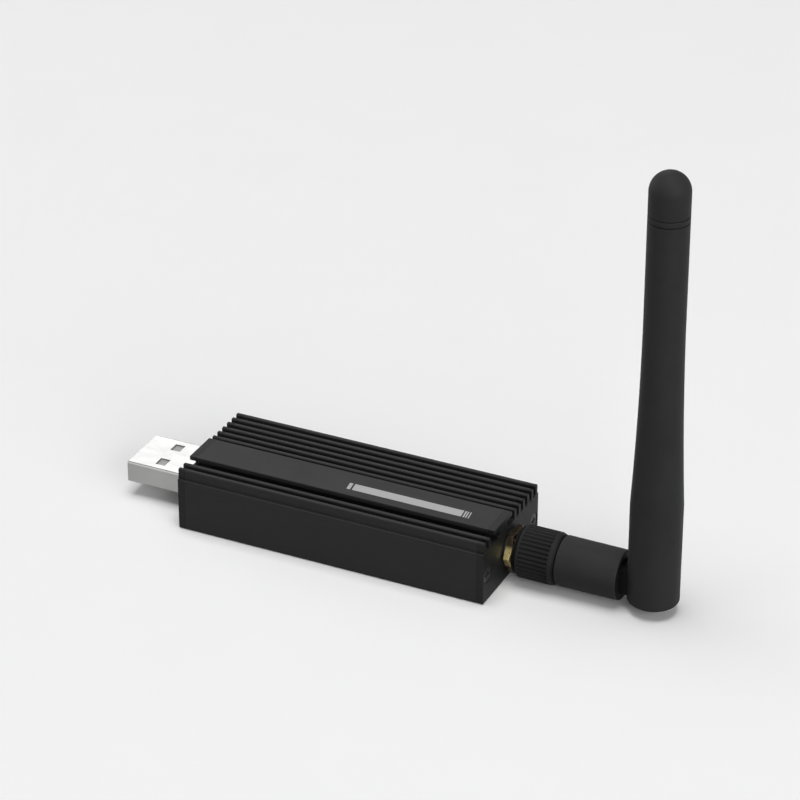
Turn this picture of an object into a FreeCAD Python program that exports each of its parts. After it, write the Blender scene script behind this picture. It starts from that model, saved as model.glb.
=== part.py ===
import FreeCAD, Part
import math
import os

Vector = FreeCAD.Vector

# A radio stick for a USB port: a finned aluminium housing with a plug at one end and a
# tilting screw-on antenna at the other. All sizes are in millimetres.
# The origin is the middle of the flat underside. +X points from the plug to the antenna,
# +Y from the side with the raised strip to the other side, and +Z up.

# Housing: one aluminium extrusion between two end plates
housing_length = 65.2
housing_width = 25.8
shoulder_height = 11.0
fin_height = 2.1
fin_thickness = 0.9
fin_pitch = 2.0
fin_inset = 0.5
fin_tip_radius = 0.28
fins_before_strip = 2
fins_after_strip = 6
strip_height = 2.5
strip_thickness = 0.9
strip_gap_before = 1.8
strip_gap_after = 1.2
stem_width = 3.5
strip_edge_radius = 0.15
edge_radius = 0.35
shoulder_edge_radius = 0.25
groove_radius = 0.2
largest_rounding = 0.45
side_wall = 1.55
floor_wall = 1.2
roof_wall = 1.3
cavity_radius = 0.4
rib_reach = 3.8
rib_bottom = 2.9
rib_top = 7.4
end_plate_thickness = 1.5
plate_edge_radius = 0.15

# Heights that the inner parts share
axis_height = 5.7
plug_height = 5.3

# Countersunk screws, two in each end plate, and their ports in the extrusion
screw_height = 5.6
screw_inset = 2.1
screw_radius = 1.0
screw_length = 6.0
screw_head_radius = 1.6
screw_head_sink = 0.12
screw_hole_clearance = 0.1
screw_port_clearance = 0.02
screw_slot_width = 0.36
screw_slot_length = 1.9
screw_slot_depth = 0.55

# Circuit board, slid into the slots of the ribs
board_thickness = 1.6
board_clearance = 0.05
board_edge_grip = 1.65
board_end_clearance = 0.05
board_notch_length = 6.2
board_notch_gap = 0.4

# Small parts on the board: length, width and height
radio_chip_size = (7.0, 7.0, 0.9)
usb_bridge_size = (5.0, 5.0, 0.9)
regulator_size = (2.9, 1.6, 1.1)
main_crystal_size = (3.2, 2.5, 0.75)
clock_crystal_size = (3.2, 1.5, 0.75)
lamp_size = (1.6, 0.8, 0.6)
capacitor_size = (1.0, 0.55, 0.55)
resistor_size = (1.0, 0.5, 0.35)
chip_corner_share = 0.08
chip_dimple_depth = 0.05
crystal_corner_radius = 0.3

# Leads of the regulator: three on one side and two on the other
lead_pitch = 0.95
lead_width = 0.4
lead_thickness = 0.15
lead_reach = 0.6
lead_bend = 0.36
lead_level_share = 0.45
lead_root = 0.1

# Their middles: distance from the plug's inner end, and Y
usb_bridge_place = (9.0, 1.0)
regulator_place = (4.2, -5.6)
capacitors_near_plug = [(13.0, -1.0), (13.0, 0.6), (13.0, 2.2), (7.4, -5.0), (7.4, -6.6)]
resistors_near_plug = [(13.0, 3.8), (13.0, 5.4)]

# The same, with the distance from the far rib in place of Y
lamp_places = [(2.6, 3.1), (2.6, 1.1)]
lamp_resistor_places = [(5.4, 3.1), (5.4, 1.1)]

# The distance from the board's end at the jack, and Y
radio_chip_place = (17.0, -0.5)
main_crystal_place = (22.6, 4.4)
clock_crystal_place = (22.6, -4.8)
capacitors_near_jack = [
    (12.2, -3.0), (12.2, -1.4), (12.2, 1.8), (12.2, 3.4),
    (19.4, 5.0), (17.8, 5.0), (16.2, 5.0), (14.6, 5.0),
]
resistors_near_jack = [(7.6, -2.0), (7.6, 2.0)]

# Boot and reset switches: a metal frame with a round hole, and a button that travels in it
switch_size = (3.9, 3.0, 1.6)
switch_distance = 21.0
switch_rib_distance = 3.1
switch_rim = 0.25
button_radius = 0.8
button_rise = 0.45
button_flange_radius = 1.1
button_flange_thickness = 0.3
button_travel = 0.25
button_clearance = 0.08
button_rest_gap = 0.03
button_floor_gap = 0.07

# USB plug, type A
plug_width = 12.0
plug_thickness = 4.5
plug_wall = 0.3
plug_corner_radius = 0.45
plug_reach = 15.2
plug_length = 18.75
plug_fit_clearance = 0.1
plug_tongue_setback = 0.35
plug_tongue_thickness = 1.95
plug_tongue_length = 12.2
window_length = 2.04
window_width = 2.43
window_distance = 5.43
window_centre = 3.05
contact_pitch_outer = 7.0
contact_pitch_inner = 2.0
contact_width = 1.0
contact_thickness = 0.2
contact_setback_outer = 1.1
contact_setback_inner = 2.1
contact_tail = 1.5
shell_tab_length = 1.3
shell_tab_setback = 0.4
shell_tab_reach = 1.3

# Antenna jack, a threaded bush with its flange behind the end plate
thread_radius = 3.175
thread_clearance = 0.03
thread_chamfer = 0.35
jack_reach = 7.6
jack_hole_clearance = 0.06
jack_flange_width = 6.4
jack_flange_thickness = 1.7
jack_leg_width = 1.0
jack_leg_length = 4.4
jack_mouth_depth = 1.9
insulator_radius = 2.05
contact_pin_radius = 0.4
socket_radius = 0.635
socket_bore_radius = 0.48
socket_depth = 3.0
socket_floor = 0.5
socket_slit_width = 0.12
socket_slit_depth = 2.1
contact_tail_length = 2.6
washer_thickness = 0.4
washer_radius = 3.95
washer_tooth_count = 12
washer_gap_width = 0.56
washer_gap_depth = 0.45
nut_flats = 8.0
nut_thickness = 1.3
nut_corner_chamfer = 0.55
nut_corner_chamfer_length = 0.3
nut_bore_chamfer = 0.3

# Antenna connector and its coupling nut
connector_clearance = 0.05
nose_radius = 2.27
ferrule_radius = 3.0
ferrule_end = 15.0
ferrule_edge = 0.15
insulator_setback = 2.5
ring_groove_start = 8.4
ring_groove_width = 0.62
ring_groove_depth = 0.45
ring_thickness = 0.54
ring_clearance = 0.03
ring_opening = 60.0
swivel_groove_start = 12.2
swivel_groove_width = 1.2
swivel_groove_depth = 0.5
crimp_radius = 1.45
crimp_length = 2.6
pin_radius = 0.46
pin_reach = 2.3
pin_tip_radius = 0.2
pin_tip_length = 0.5
coupling_gap = 0.3
coupling_nut_length = 7.3
coupling_nut_recess = 0.05
coupling_nut_lead_in = 0.3
coupling_nut_relief = 0.4
coupling_length = 8.7
jacket_radius = 5.2
jacket_bore_radius = 3.2
jacket_lip_radius = 4.65
jacket_lip_wall = 0.27
jacket_lip_length = 0.56
jacket_lip_edge = 0.1
jacket_front_taper = 0.42
jacket_end_radius = 4.8
jacket_end_taper = 1.1
jacket_shoulder_radius = 0.3
jacket_end_edge = 0.12
flute_count = 36
flute_radius = 0.32
flute_depth = 0.3
flute_setback = 1.4
flute_end_band = 1.2

# Antenna barrel and the knuckle that tilts the whip
barrel_gap = 0.15
barrel_radius = 4.95
barrel_end_radius = 4.9
barrel_length = 12.5
barrel_end_edge = 0.3
barrel_front_edge = 0.2
knuckle_distance = 29.28
knuckle_clearance = 0.12
tongue_height = 5.2
tongue_thickness = 5.0
tongue_root = 2.0
tongue_side_clearance = 0.08
trunnion_radius = 1.3
trunnion_reach = 1.2
trunnion_clearance = 0.06
trunnion_end_gap = 0.1
cable_radius = 0.7
cable_clearance = 0.05
cable_bend_radius = 3.0
cable_channel_width = 2.0
cable_channel_margin = 0.2
cable_channel_roof = 2.0

# Whip
whip_radius = 5.02
whip_below_knuckle = 3.6
whip_bottom_edge = 0.5
whip_taper_start = 23.0
whip_taper_to_top = 26.8
whip_top_radius = 3.88
whip_top_height = 90.8
whip_bore_radius = 2.4
whip_bore_start = 14.0
cap_length = 9.48
cap_groove_distance = 1.22
cap_groove_depth = 0.14
cap_spigot_length = 4.0
cap_spigot_wall = 0.8
cap_spigot_clearance = 0.02
dipole_start = 20.0
dipole_sleeve_length = 25.0
dipole_end_to_cap = 7.6
dipole_radius = 2.25
dipole_wall = 0.2
dipole_end_wall = 0.4
dipole_wire_radius = 0.35

# Places along X that several pieces share
plug_face = -housing_length / 2
jack_face = housing_length / 2
inner_plug_face = plug_face + end_plate_thickness
inner_jack_face = jack_face - end_plate_thickness
half_width = housing_width / 2
fin_top = shoulder_height + fin_height
strip_top = shoulder_height + strip_height
cavity_top = shoulder_height - roof_wall
cavity_side = half_width - side_wall
rib_face = half_width - rib_reach
screw_offset = half_width - screw_inset
port_radius = screw_radius + screw_port_clearance
board_top = axis_height - contact_pin_radius
board_bottom = board_top - board_thickness
board_half_width = rib_face + board_edge_grip
board_start = inner_plug_face + board_end_clearance
board_end = inner_jack_face - jack_flange_thickness
jack_end = jack_face + jack_reach
jack_mouth = jack_end - jack_mouth_depth
nut_face = jack_face + washer_thickness + nut_thickness
coupling_start = nut_face + coupling_gap
coupling_end = coupling_start + coupling_length
coupling_nut_flats = (jacket_lip_radius - jacket_lip_wall) * math.sqrt(3)
barrel_start = coupling_end + barrel_gap
barrel_end = barrel_start + barrel_length
knuckle = jack_face + knuckle_distance
whip_bottom = axis_height - whip_below_knuckle
whip_taper_end = whip_top_height - whip_taper_to_top
cap_seam_height = whip_top_height - cap_length
cap_groove_height = cap_seam_height + cap_groove_distance
dipole_feed = dipole_start + dipole_sleeve_length
dipole_end = cap_seam_height - dipole_end_to_cap
plug_mouth = plug_face - plug_reach
plug_end = plug_mouth + plug_length
plug_roof = plug_height + plug_thickness / 2 - plug_wall
contact_level = plug_roof - plug_tongue_thickness
insulator_end = jack_face + ferrule_end - insulator_setback
switch_well_depth = switch_rim + button_rest_gap + button_flange_thickness + button_travel + button_floor_gap


# Shapes that many pieces are made from

def box(x_range, y_range, z_range):
    size = [b - a for a, b in (x_range, y_range, z_range)]
    return Part.makeBox(*size, Vector(x_range[0], y_range[0], z_range[0]))


def rod(start, end, radius, height=axis_height, y=0.0):
    return Part.makeCylinder(radius, end - start, Vector(start, y, height), Vector(1, 0, 0))


def upright_rod(bottom, top, radius, x=knuckle, y=0.0):
    return Part.makeCylinder(radius, top - bottom, Vector(x, y, bottom), Vector(0, 0, 1))


def cross_rod(near, far, radius):
    return Part.makeCylinder(radius, far - near, Vector(knuckle, near, axis_height), Vector(0, 1, 0))


def cone(start, end, start_radius, end_radius, height=axis_height, y=0.0):
    base = Vector(start, y, height)
    return Part.makeCone(start_radius, end_radius, end - start, base, Vector(1, 0, 0))


# A closed outline of lines, with an arc at each corner that has a radius
def outline(corners, to_space):
    turns = []
    for number, (a, b, radius) in enumerate(corners):
        here = Vector(a, b, 0)
        before = Vector(*corners[number - 1][:2], 0)
        after = Vector(*corners[(number + 1) % len(corners)][:2], 0)
        if radius <= 0:
            turns.append((here, None, here))
            continue
        back = (before - here).normalize()
        ahead = (after - here).normalize()
        half_angle = back.getAngle(ahead) / 2
        reach = radius / math.tan(half_angle)
        inward = (back + ahead).normalize()
        middle = here + inward * (radius / math.sin(half_angle) - radius)
        turns.append((here + back * reach, middle, here + ahead * reach))
    edges = []
    for number, (start, middle, end) in enumerate(turns):
        following = turns[(number + 1) % len(turns)][0]
        if middle is not None:
            edges.append(Part.Arc(to_space(start), to_space(middle), to_space(end)).toShape())
        if (following - end).Length > 1e-6:
            edges.append(Part.LineSegment(to_space(end), to_space(following)).toShape())
    return Part.Face(Part.Wire(edges))


# A profile in Y and Z, pulled along X
def extruded(corners, start, end):
    face = outline(corners, lambda p: Vector(start, p.x, p.y))
    return face.extrude(Vector(end - start, 0, 0))


# A profile in X and Z, pulled along Y
def crosswise(corners, near, far):
    face = outline(corners, lambda p: Vector(p.x, near, p.y))
    return face.extrude(Vector(0, far - near, 0))


# A profile of distance along X and radius, turned round the jack's axis
def turned(corners, height=axis_height, y=0.0):
    face = outline(corners, lambda p: Vector(p.x, y, height + p.y))
    return face.revolve(Vector(0, y, height), Vector(1, 0, 0), 360)


def hexagon(flats, start, end):
    corner = flats / math.sqrt(3)
    points = []
    for number in range(6):
        angle = math.radians(60 * number + 90)
        points.append((corner * math.cos(angle), axis_height + corner * math.sin(angle), 0))
    return extruded(points, start, end)


def joined(shapes):
    return shapes[0].fuse(shapes[1:]).removeSplitter()


def group(shapes):
    solids = []
    for shape in shapes:
        solids.extend(shape.Solids)
    return Part.makeCompound(solids)


def both_sides(shape):
    return [shape, shape.mirror(Vector(0, 0, 0), Vector(0, 1, 0))]


# Housing

def fin_centres():
    first = -half_width + fin_inset + fin_thickness / 2
    last = half_width - fin_inset - fin_thickness / 2
    before = [first + fin_pitch * number for number in range(fins_before_strip)]
    after = [last - fin_pitch * number for number in range(fins_after_strip)]
    return before, sorted(after)


def fin_corners(centre):
    tip = min(fin_tip_radius, largest_rounding * fin_thickness)
    near = centre - fin_thickness / 2
    far = centre + fin_thickness / 2
    root = min(groove_radius, largest_rounding * (fin_pitch - fin_thickness))
    return [
        (near, shoulder_height, root if near > -half_width + 2 * fin_inset else 0),
        (near, fin_top, tip),
        (far, fin_top, tip),
        (far, shoulder_height, root if far < half_width - 2 * fin_inset else 0),
    ]


# The raised strip is a T: a thin plate on a narrower stem
def strip_corners(before, after):
    near = before[-1] + fin_thickness / 2 + strip_gap_before
    far = after[0] - fin_thickness / 2 - strip_gap_after
    middle = (near + far) / 2
    underside = strip_top - strip_thickness
    edge = min(strip_edge_radius, largest_rounding * strip_thickness)
    return [
        (middle - stem_width / 2, shoulder_height, groove_radius),
        (middle - stem_width / 2, underside, groove_radius),
        (near, underside, edge),
        (near, strip_top, edge),
        (far, strip_top, edge),
        (far, underside, edge),
        (middle + stem_width / 2, underside, groove_radius),
        (middle + stem_width / 2, shoulder_height, groove_radius),
    ]


def housing_outline():
    before, after = fin_centres()
    corners = [(-half_width, 0, edge_radius), (-half_width, shoulder_height, shoulder_edge_radius)]
    for centre in before:
        corners.extend(fin_corners(centre))
    corners.extend(strip_corners(before, after))
    for centre in after:
        corners.extend(fin_corners(centre))
    corners.append((half_width, shoulder_height, shoulder_edge_radius))
    corners.append((half_width, 0, edge_radius))
    return corners


# The hollow narrows between two ribs that carry the board and the screw ports
def cavity_outline():
    far_half = [
        (cavity_side, floor_wall, cavity_radius),
        (cavity_side, rib_bottom, cavity_radius),
        (rib_face, rib_bottom, cavity_radius),
        (rib_face, rib_top, cavity_radius),
        (cavity_side, rib_top, cavity_radius),
        (cavity_side, cavity_top, cavity_radius),
    ]
    near_half = [(-y, z, radius) for y, z, radius in reversed(far_half)]
    return far_half + near_half


def finned_housing():
    body = extruded(housing_outline(), inner_plug_face, inner_jack_face)
    hollow = extruded(cavity_outline(), inner_plug_face, inner_jack_face)
    slot = box(
        (inner_plug_face, inner_jack_face),
        (-board_half_width - board_clearance, board_half_width + board_clearance),
        (board_bottom - board_clearance, board_top + board_clearance),
    )
    ports = both_sides(rod(inner_plug_face, inner_jack_face, port_radius, screw_height, screw_offset))
    return body.cut([hollow, slot] + ports)


def blank_end_plate(inner, outer):
    plate = extruded(housing_outline(), inner, outer)
    softened = []
    for edge in plate.Edges:
        on_outer_face = all(abs(v.X - outer) < 1e-6 for v in edge.Vertexes)
        below_fins = all(v.Z < shoulder_height - shoulder_edge_radius / 2 for v in edge.Vertexes)
        if on_outer_face and below_fins:
            softened.append(edge)
    return plate.makeFillet(plate_edge_radius, softened)


# A round piece on a screw's axis, between two places in either order
def screw_rod(a, b, radius):
    return rod(min(a, b), max(a, b), radius, screw_height, screw_offset)


# The cone below a screw's head. direction is the way that the screw points, -1 or 1 along X
def screw_cone(outer, direction, clearance):
    top = outer + direction * screw_head_sink
    tip = top + direction * (screw_head_radius - screw_radius)
    (low, low_radius), (high, high_radius) = sorted([
        (top, screw_head_radius + clearance),
        (tip, screw_radius + clearance),
    ])
    return cone(low, high, low_radius, high_radius, screw_height, screw_offset)


def screw_holes(outer, direction):
    inner = outer + direction * end_plate_thickness
    sink_end = outer + direction * screw_head_sink
    well = screw_rod(outer, sink_end, screw_head_radius + screw_hole_clearance)
    sink = screw_cone(outer, direction, screw_hole_clearance)
    hole = screw_rod(outer, inner, screw_radius + screw_hole_clearance)
    return both_sides(well) + both_sides(sink) + both_sides(hole)


def usb_end_plate():
    plate = blank_end_plate(inner_plug_face, plug_face)
    opening = extruded(plug_section(plug_fit_clearance), plug_face - 1, inner_plug_face + 1)
    return plate.cut([opening] + screw_holes(plug_face, 1))


def antenna_end_plate():
    plate = blank_end_plate(inner_jack_face, jack_face)
    opening = rod(inner_jack_face - 1, jack_face + 1, thread_radius + jack_hole_clearance)
    return plate.cut([opening] + screw_holes(jack_face, -1))


# One screw: a countersunk head with a cross in it, and a shank
def end_plate_screw(outer, direction):
    top = outer + direction * screw_head_sink
    shank = screw_rod(top, top + direction * screw_length, screw_radius)
    screw = joined([screw_cone(outer, direction, 0), shank])
    x_range = sorted((outer, top + direction * screw_slot_depth))
    cross = []
    for width, height in (
        (screw_slot_length, screw_slot_width),
        (screw_slot_width, screw_slot_length),
    ):
        y_range = (screw_offset - width / 2, screw_offset + width / 2)
        z_range = (screw_height - height / 2, screw_height + height / 2)
        cross.append(box(x_range, y_range, z_range))
    return screw.cut(cross)


def end_plate_screws():
    plug_end_screw = end_plate_screw(plug_face, 1)
    jack_end_screw = end_plate_screw(jack_face, -1)
    return group(both_sides(plug_end_screw) + both_sides(jack_end_screw))


# Circuit board

def circuit_board():
    board = box((board_start, board_end), (-board_half_width, board_half_width), (board_bottom, board_top))
    cuts = []
    notch_side = screw_offset - screw_radius - board_notch_gap
    for start, end in (
        (board_start, board_start + board_notch_length),
        (board_end - board_notch_length, board_end),
    ):
        corner = box((start, end), (notch_side, board_half_width + 1), (board_bottom, board_top))
        cuts.extend(both_sides(corner))
    plug_half = plug_width / 2 + plug_fit_clearance
    plug_bay_end = plug_end + plug_fit_clearance
    cuts.append(box((board_start, plug_bay_end), (-plug_half, plug_half), (board_bottom, board_top)))
    return board.cut(cuts)


def from_plug(places):
    return [(plug_end + distance, y) for distance, y in places]


def from_jack(places):
    return [(board_end - distance, y) for distance, y in places]


def from_plug_and_rib(places):
    return [(plug_end + distance, rib_face - inset) for distance, inset in places]


def block(place, size):
    (x, y), (length, width, height) = place, size
    return box(
        (x - length / 2, x + length / 2),
        (y - width / 2, y + width / 2),
        (board_top, board_top + height),
    )


# A chip is a moulded block with a chamfered corner and a dimple beside pin one
def chip(place, size):
    (x, y), (length, width, height) = place, size
    corner = chip_corner_share * min(length, width)
    x_a = x - length / 2
    x_b = x + length / 2
    y_a = y - width / 2
    y_b = y + width / 2
    points = [(x_a + corner, y_a), (x_b, y_a), (x_b, y_b), (x_a, y_b), (x_a, y_a + corner)]
    wire = Part.makePolygon([Vector(a, b, board_top) for a, b in points + points[:1]])
    body = Part.Face(wire).extrude(Vector(0, 0, height))
    dimple_floor = board_top + height - chip_dimple_depth
    dimple = upright_rod(dimple_floor, dimple_floor + 1, corner, x_a + 3 * corner, y_a + 3 * corner)
    return body.cut(dimple)


# One bent lead. side is -1 or 1, the way that it leaves the chip along Y
def lead(x, wall, side, level):
    x_range = (x - lead_width / 2, x + lead_width / 2)
    bend = wall + side * lead_bend
    shoulder = box(x_range, sorted((wall - side * lead_root, bend)), (level - lead_thickness, level))
    drop = box(x_range, sorted((bend - side * lead_thickness, bend)), (board_top, level))
    toe = wall + side * lead_reach
    foot = box(x_range, sorted((bend - side * lead_thickness, toe)), (board_top, board_top + lead_thickness))
    return [shoulder, drop, foot]


def voltage_regulator():
    place = from_plug([regulator_place])[0]
    level = board_top + lead_level_share * regulator_size[2]
    pieces = [chip(place, regulator_size)]
    for steps, side in (((-1, 0, 1), -1), ((-1, 1), 1)):
        wall = place[1] + side * regulator_size[1] / 2
        for step in steps:
            pieces.extend(lead(place[0] + step * lead_pitch, wall, side, level))
    return joined(pieces)


def radio_chip():
    return chip(from_jack([radio_chip_place])[0], radio_chip_size)


def usb_bridge_chip():
    return chip(from_plug([usb_bridge_place])[0], usb_bridge_size)


def crystal(place, size):
    can = block(from_jack([place])[0], size)
    uprights = [edge for edge in can.Edges if edge.Vertexes[0].Z != edge.Vertexes[1].Z]
    return can.makeFillet(crystal_corner_radius, uprights)


def main_crystal():
    return crystal(main_crystal_place, main_crystal_size)


def clock_crystal():
    return crystal(clock_crystal_place, clock_crystal_size)


def status_lamps():
    return group([block(place, lamp_size) for place in from_plug_and_rib(lamp_places)])


def capacitors():
    places = from_jack(capacitors_near_jack) + from_plug(capacitors_near_plug)
    return group([block(place, capacitor_size) for place in places])


def resistors():
    places = from_jack(resistors_near_jack) + from_plug(resistors_near_plug)
    places += from_plug_and_rib(lamp_resistor_places)
    return group([block(place, resistor_size) for place in places])


# The boot switch is on the near side and the reset switch on the far side
def switch_place(side):
    return plug_end + switch_distance, side * (rib_face - switch_rib_distance)


def switch_rod(side, bottom, top, radius):
    return upright_rod(bottom, top, radius, *switch_place(side))


def switch_frame(side):
    frame = block(switch_place(side), switch_size)
    top = board_top + switch_size[2]
    floor = top - switch_well_depth
    hole = switch_rod(side, floor, top, button_radius + button_clearance)
    well = switch_rod(side, floor, top - switch_rim, button_flange_radius + button_clearance)
    return frame.cut([hole, well])


def switch_frames():
    return group([switch_frame(-1), switch_frame(1)])


# The flange of a button rests under the rim of its hole, with its travel below it
def switch_button(side):
    top = board_top + switch_size[2]
    rest = top - switch_rim - button_rest_gap
    stem = switch_rod(side, rest, top + button_rise, button_radius)
    flange = switch_rod(side, rest - button_flange_thickness, rest, button_flange_radius)
    return joined([stem, flange])


def boot_button():
    return switch_button(-1)


def reset_button():
    return switch_button(1)


# USB plug

def plug_section(grow):
    half_w = plug_width / 2 + grow
    half_h = plug_thickness / 2 + grow
    radius = plug_corner_radius + grow
    return [
        (-half_w, plug_height - half_h, radius),
        (half_w, plug_height - half_h, radius),
        (half_w, plug_height + half_h, radius),
        (-half_w, plug_height + half_h, radius),
    ]


def plug_window(y, z_range):
    start = plug_mouth + window_distance
    y_range = (y - window_width / 2, y + window_width / 2)
    return box((start, start + window_length), y_range, z_range)


# A folded steel shell with two windows above and below, and two tabs soldered to the board
def usb_plug_shell():
    shell = extruded(plug_section(0), plug_mouth, plug_end)
    inside = extruded(plug_section(-plug_wall), plug_mouth - 1, plug_end + 1)
    tab_end = plug_end - shell_tab_setback
    tab = box(
        (tab_end - shell_tab_length, tab_end),
        (plug_width / 2 - plug_wall / 2, plug_width / 2 + shell_tab_reach),
        (board_top, board_top + plug_wall),
    )
    shell = joined([shell] + both_sides(tab))
    cuts = [inside]
    whole_height = (plug_height - plug_thickness, plug_height + plug_thickness)
    for side in (-1, 1):
        cuts.append(plug_window(side * window_centre, whole_height))
    return shell.cut(cuts)


def contact_places():
    outer = contact_pitch_outer / 2
    inner = contact_pitch_inner / 2
    return [
        (-outer, contact_setback_outer),
        (-inner, contact_setback_inner),
        (inner, contact_setback_inner),
        (outer, contact_setback_outer),
    ]


# The insulator: a thin tongue in the upper half of the mouth, and a full block behind it
def usb_plug_insulator():
    half_w = plug_width / 2 - plug_wall
    inner_radius = plug_corner_radius - plug_wall
    root = plug_mouth + plug_tongue_length
    tongue = extruded(
        [
            (-half_w, contact_level, 0),
            (half_w, contact_level, 0),
            (half_w, plug_roof, inner_radius),
            (-half_w, plug_roof, inner_radius),
        ],
        plug_mouth + plug_tongue_setback,
        plug_end,
    )
    filling = extruded(plug_section(-plug_wall), root, plug_end)
    insulator = joined([tongue, filling])
    slots = []
    for y, setback in contact_places():
        slots.append(contact_strip(y, plug_mouth + plug_tongue_setback + setback, plug_end))
    return insulator.cut(slots)


def contact_strip(y, start, end):
    y_range = (y - contact_width / 2, y + contact_width / 2)
    return box((start, end), y_range, (contact_level, contact_level + contact_thickness))


# Four flat contacts, set into the underside of the tongue, run through the block onto the board
def usb_contacts():
    strips = []
    for y, setback in contact_places():
        start = plug_mouth + plug_tongue_setback + setback
        strips.append(contact_strip(y, start, plug_end + contact_tail))
    return group(strips)


# Antenna jack

def jack_body():
    flange_start = inner_jack_face - jack_flange_thickness
    half_flange = jack_flange_width / 2
    bush = turned([
        (flange_start, 0, 0),
        (flange_start, thread_radius, 0),
        (jack_end - thread_chamfer, thread_radius, 0),
        (jack_end, thread_radius - thread_chamfer, 0),
        (jack_end, 0, 0),
    ])
    flange = box(
        (flange_start, inner_jack_face),
        (-half_flange, half_flange),
        (axis_height - half_flange, axis_height + half_flange),
    )
    leg_side = (half_flange - jack_leg_width, half_flange)
    legs = []
    leg_start = flange_start - jack_leg_length
    top_leg = (board_top + board_clearance, board_top + board_clearance + jack_leg_width)
    bottom_leg = (board_bottom - board_clearance - jack_leg_width, board_bottom - board_clearance)
    for z_range in (top_leg, bottom_leg):
        legs.extend(both_sides(box((leg_start, inner_jack_face), leg_side, z_range)))
    body = joined([bush, flange] + legs)
    mouth_radius = nose_radius + connector_clearance
    hollow = turned([
        (flange_start - 1, 0, 0),
        (flange_start - 1, insulator_radius, 0),
        (jack_mouth, insulator_radius, 0),
        (jack_mouth, mouth_radius, 0),
        (jack_end + 1, mouth_radius, 0),
        (jack_end + 1, 0, 0),
    ])
    return body.cut(hollow)


def jack_insulator():
    start = inner_jack_face - jack_flange_thickness
    body = rod(start, jack_mouth, insulator_radius)
    front_hole = rod(jack_mouth - socket_depth - socket_floor, jack_mouth, socket_radius)
    rear_hole = rod(start, jack_mouth, contact_pin_radius)
    return body.cut([front_hole, rear_hole])


# The contact: a slotted socket in front, and a pin behind that lies on the board
def jack_contact():
    socket_start = jack_mouth - socket_depth - socket_floor
    tail_start = board_end - contact_tail_length
    contact = joined([
        rod(socket_start, jack_mouth, socket_radius),
        rod(tail_start, socket_start, contact_pin_radius),
    ])
    bore = rod(jack_mouth - socket_depth, jack_mouth, socket_bore_radius)
    slit = box(
        (jack_mouth - socket_slit_depth, jack_mouth),
        (-socket_slit_width / 2, socket_slit_width / 2),
        (axis_height - 2 * socket_radius, axis_height + 2 * socket_radius),
    )
    return contact.cut([bore, slit])


def jack_lock_washer():
    ring = rod(jack_face, jack_face + washer_thickness, washer_radius)
    x_range = (jack_face, jack_face + washer_thickness)
    cuts = [rod(*x_range, thread_radius + thread_clearance)]
    gap = box(
        x_range,
        (0, thread_radius + washer_gap_depth),
        (axis_height - washer_gap_width / 2, axis_height + washer_gap_width / 2),
    )
    for number in range(washer_tooth_count):
        turned_gap = gap.copy()
        turned_gap.rotate(Vector(0, 0, axis_height), Vector(1, 0, 0), 360 * number / washer_tooth_count)
        cuts.append(turned_gap)
    return ring.cut(cuts)


def jack_hex_nut():
    start = jack_face + washer_thickness
    corner = nut_flats / math.sqrt(3)
    nut = hexagon(nut_flats, start, nut_face)
    chamfer_start = nut_face - nut_corner_chamfer_length
    chamfered = turned([
        (start, 0, 0),
        (start, 2 * corner, 0),
        (chamfer_start, 2 * corner, 0),
        (chamfer_start, corner, 0),
        (nut_face, corner - nut_corner_chamfer, 0),
        (nut_face, 0, 0),
    ])
    bore = rod(start, nut_face, thread_radius + thread_clearance)
    bore_end = nut_face - nut_bore_chamfer
    bore_chamfer = cone(bore_end, nut_face, thread_radius, thread_radius + nut_bore_chamfer)
    return nut.common(chamfered).cut([bore, bore_chamfer])


# Antenna connector

def connector_ferrule():
    nose_face = jack_mouth + connector_clearance
    shoulder = jack_end + connector_clearance
    ring_start = jack_face + ring_groove_start
    ring_end = ring_start + ring_groove_width
    ring_floor = ferrule_radius - ring_groove_depth
    swivel_start = jack_face + swivel_groove_start
    swivel_end = swivel_start + swivel_groove_width
    swivel_floor = ferrule_radius - swivel_groove_depth
    end = jack_face + ferrule_end
    crimp_end = end + crimp_length
    body = turned([
        (nose_face, 0, 0),
        (nose_face, nose_radius, 0),
        (shoulder, nose_radius, 0),
        (shoulder, ferrule_radius - ferrule_edge, 0),
        (shoulder + ferrule_edge, ferrule_radius, 0),
        (ring_start, ferrule_radius, 0),
        (ring_start, ring_floor, 0),
        (ring_end, ring_floor, 0),
        (ring_end, ferrule_radius, 0),
        (swivel_start, ferrule_radius, 0),
        (swivel_start, swivel_floor, 0),
        (swivel_end, swivel_floor, 0),
        (swivel_end, ferrule_radius, 0),
        (end, ferrule_radius, 0),
        (end, crimp_radius, 0),
        (crimp_end, crimp_radius, 0),
        (crimp_end, 0, 0),
    ])
    insulator_hole = rod(nose_face, insulator_end, insulator_radius)
    cable_hole = rod(nose_face, crimp_end, cable_radius + cable_clearance)
    return body.cut([insulator_hole, cable_hole])


def connector_insulator():
    start = jack_mouth + connector_clearance
    return rod(start, insulator_end, insulator_radius).cut(rod(start, insulator_end, pin_radius))


def connector_pin():
    point = jack_mouth - pin_reach
    return turned([
        (point, 0, 0),
        (point, pin_tip_radius, 0),
        (point + pin_tip_length, pin_radius, 0),
        (insulator_end, pin_radius, 0),
        (insulator_end, 0, 0),
    ])


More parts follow.
